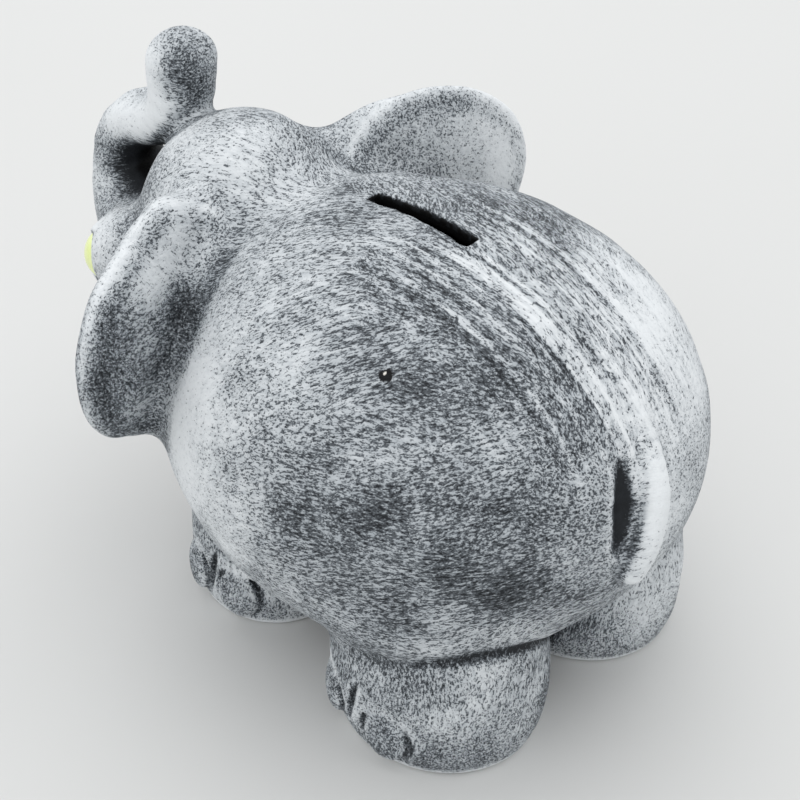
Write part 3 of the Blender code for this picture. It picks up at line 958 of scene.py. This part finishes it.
def eye_glaze():
    """Glossy painted eye: pale yellow-green with a dark pupil that looks ahead and outwards."""
    g = Graph("eye_glaze")
    at = g.place()
    part = g.put("ShaderNodeSeparateXYZ", {0: at})
    outwards = g.math("ABSOLUTE", part.outputs[0])
    folded = g.put("ShaderNodeCombineXYZ", {0: outwards, 1: part.outputs[1], 2: part.outputs[2]}).outputs[0]
    wander = g.vec("SCALE", g.vec("SUBTRACT", g.noise(at, 5, 2.0, 0.5, True), (0.5, 0.5, 0.5)), scale=0.9)
    folded = g.vec("ADD", folded, wander)
    gaze = (EYE[0] + 2.6, EYE[1] - 8.1, EYE[2] + 0.2)
    far = g.vec("DISTANCE", folded, gaze)
    colour = g.mix(g.noise(at, 4, 3.0, 0.6), rgb((222, 234, 140)), rgb((238, 246, 186)))
    colour = g.mix(g.step(far, 4.9, 4.5), colour, rgb((96, 118, 40)))
    colour = g.mix(g.step(far, 3.4, 3.1), colour, rgb((12, 13, 14)))
    glint = g.vec("DISTANCE", folded, (gaze[0] + 0.9, gaze[1] + 0.3, gaze[2] + 2.2))
    colour = g.mix(g.step(glint, 1.0, 0.8), colour, rgb((246, 248, 246)))
    rough = g.math("MULTIPLY_ADD", g.noise(at, 3, 2.0, 0.5), 0.12, 0.14)
    return g.finish({"Base Color": colour, "Roughness": rough, "Coat Weight": 0.6, "Coat Roughness": 0.08,
                     "Normal": g.bump(g.noise(at, 2.2, 2.0, 0.5), 0.12, 0.0004)})


def stopper_rubber():
    """Matt black rubber, dusty in patches."""
    g = Graph("stopper_rubber")
    at = g.place()
    dust = g.noise(at, 4, 4.0, 0.65)
    colour = g.mix(dust, rgb((30, 31, 33)), rgb((58, 59, 61)))
    return g.finish({"Base Color": colour, "Roughness": g.math("MULTIPLY_ADD", dust, 0.25, 0.55),
                     "Normal": g.bump(g.noise(at, 0.5, 2.0, 0.5), 0.3, 0.0002)})


def paper():
    """The pale sheet that the bank stands on, in metres."""
    g = Graph("pale_floor")
    at = g.put("ShaderNodeTexCoord", {}).outputs["Object"]
    colour = g.mix(g.noise(at, 0.4, 2.0, 0.5), rgb((212, 212, 210)), rgb((216, 216, 215)))
    return g.finish({"Base Color": colour, "Roughness": 0.9, "Specular IOR Level": 0.1})


# ---- Turned and round pieces ---------------------------------------------------------------------
def placed(x, y, z):
    """A point of these sizes in the shared frame."""
    return Vector((x, y + FRAME_Y, z)) * 0.001


def from_bmesh(name, bm, material):
    """A closed piece with its faces turned outwards."""
    bm.normal_update()
    bmesh.ops.recalc_face_normals(bm, faces=bm.faces)
    mesh = bpy.data.meshes.new(name)
    bm.to_mesh(mesh)
    bm.free()
    return show(name, mesh, material)


def lathe(name, profile, centre, steps, material):
    """A profile of (radius, height) turned about the vertical axis, closed at its two ends on the axis."""
    bm = bmesh.new()
    angles = [2 * math.pi * i / steps for i in range(steps)]
    rings = []
    for radius, height in profile:
        if radius < 1e-6:
            angles_here = angles[:1]
        else:
            angles_here = angles
        rings.append([bm.verts.new(placed(centre[0] + radius * math.cos(a), centre[1] + radius * math.sin(a),
                                          height)) for a in angles_here])
    for one, two in zip(rings, rings[1:]):
        for i in range(steps):
            j = (i + 1) % steps
            loop = [one[i % len(one)], one[j % len(one)], two[j % len(two)], two[i % len(two)]]
            bm.faces.new(list(dict.fromkeys(loop)))
    return from_bmesh(name, bm, material)


def rounded(corners, radius, steps=4):
    """A profile with each inner corner rounded off."""
    out = [corners[0]]
    for before, here, after in zip(corners, corners[1:], corners[2:]):
        h = Vector(here)
        a = Vector(before) - h
        b = Vector(after) - h
        size = min(radius, a.length * 0.45, b.length * 0.45)
        start = h + a.normalized() * size
        end = h + b.normalized() * size
        for i in range(steps + 1):
            t = i / steps
            out.append(tuple(start * (1 - t) ** 2 + h * 2 * t * (1 - t) + end * t * t))
    out.append(corners[-1])
    return out


def stopper(material):
    """Soft plug: a flange with a finger hollow under the seat, and a ribbed neck that grips the hole."""
    top = SEAT_Z - 0.3
    base = top - 2.2
    neck = HOLE_RADIUS - 0.3
    corners = [(0, top + 11), (neck - 2.6, top + 11), (neck - 1.4, top + 9.6), (neck - 0.7, top + 7.4),
               (neck, top + 6.6), (neck, top + 5.8), (neck - 0.8, top + 5.2), (neck - 0.8, top + 4.0),
               (neck, top + 3.2), (neck, top + 2.2), (neck - 0.7, top + 1.4), (neck - 0.7, top),
               (16.6, top), (16.6, base + 0.7), (15.8, base),
               (9.4, base), (8.6, base + 0.9), (2.6, base + 1.1), (2.2, base + 0.5), (0, base + 0.5)]
    return lathe("belly_plug", rounded(corners, 0.5), (0, HOLE_Y), 96, material)


def eyeball(name, side, material):
    """A bulging dome with a flat back that sits in its socket."""
    bm = bmesh.new()
    bmesh.ops.create_uvsphere(bm, u_segments=64, v_segments=40, radius=1)
    outward = Vector(EYE_FACING).normalized()
    for v in bm.verts:
        spot = v.co * EYE_RADIUS
        depth = spot.dot(outward)
        if depth < -EYE_BACK:
            spot += outward * (-EYE_BACK - depth)
        spot += Vector(EYE)
        v.co = placed(spot.x * side, spot.y, spot.z)
    return from_bmesh(name, bm, material)


# ---- Build ---------------------------------------------------------------------------------------
points, quads, middle = net(*sample())
points = settle(points, quads, middle)
owner = who_owns(points, quads)
owner = tidy_owners(owner, quads, len(points))
smooth_normals = normals_of(points, quads)
outer, lumps = outside(points)
skin = ramp(outer, -1.6, -0.7)
crease, bulge = folds(points, smooth_normals)
shaped = shape_up(points, smooth_normals, skin, lumps)
shaped[middle, 0] = 0
normals = normals_of(shaped, quads)
marks = brush_and_shade_marks(points, lumps, outer, crease, bulge)

clay = patina_and_shade()
for number, name in enumerate(PARTS):
    chosen = quads[owner == number]
    made = piece(name + "_cast", shaped, chosen, marks, normals, clay)
    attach(made, "casting")
    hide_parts(name)
    print(name, len(chosen), "quads")

glaze = eye_glaze()
for label, side in (("left_eye", 1), ("right_eye", -1)):
    made = eyeball(label + "_ball", side, glaze)
    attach(made, "casting")
    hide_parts(label)

plug = stopper(stopper_rubber())
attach(plug, "stopper")
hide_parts("stopper")

# ---- Studio --------------------------------------------------------------------------------------
bpy.ops.mesh.primitive_plane_add(size=40)
floor = bpy.context.object
floor.name = "floor"
floor.data.materials.append(paper())

world = bpy.data.worlds.new("studio")
bpy.context.scene.world = world
world.use_nodes = True
world.node_tree.nodes["Background"].inputs[0].default_value = (0.97, 0.985, 1.0, 1)
world.node_tree.nodes["Background"].inputs[1].default_value = 0.95


def softbox(name, at, aim, size, power):
    """A rectangular lamp at one point, turned to face another, in metres and watts."""
    data = bpy.data.lights.new(name, "AREA")
    data.shape = "RECTANGLE"
    data.size, data.size_y = size
    data.energy = power
    lamp = bpy.data.objects.new(name, data)
    lamp.location = at
    lamp.rotation_euler = (Vector(aim) - Vector(at)).to_track_quat("-Z", "Y").to_euler()
    bpy.context.scene.collection.objects.link(lamp)


softbox("window", (-0.8, -0.7, 1.5), (-0.1, -0.1, 0.05), (2.2, 2.2), 9)
softbox("overhead", (0.1, 0.1, 1.5), (0, 0, 0.05), (1.2, 1.2), 3)
softbox("fill", (1.0, 0.1, 0.55), (0.1, -0.02, 0.0), (1.2, 0.8), 1.3)

camera_data = bpy.data.cameras.new("camera")
camera_data.lens = CAMERA_LENS
camera_data.sensor_width = 36
camera_data.clip_start = 0.01
camera = bpy.data.objects.new("camera", camera_data)
azimuth = math.radians(CAMERA_AZIMUTH)
elevation = math.radians(CAMERA_ELEVATION)
back = Vector((math.sin(azimuth) * math.cos(elevation), -math.cos(azimuth) * math.cos(elevation),
               math.sin(elevation)))
camera.location = Vector(CAMERA_TARGET) + back * CAMERA_DISTANCE
camera.rotation_euler = back.to_track_quat("Z", "Y").to_euler()
bpy.context.scene.collection.objects.link(camera)
bpy.context.scene.camera = camera
bpy.context.scene.view_settings.view_transform = "Standard"
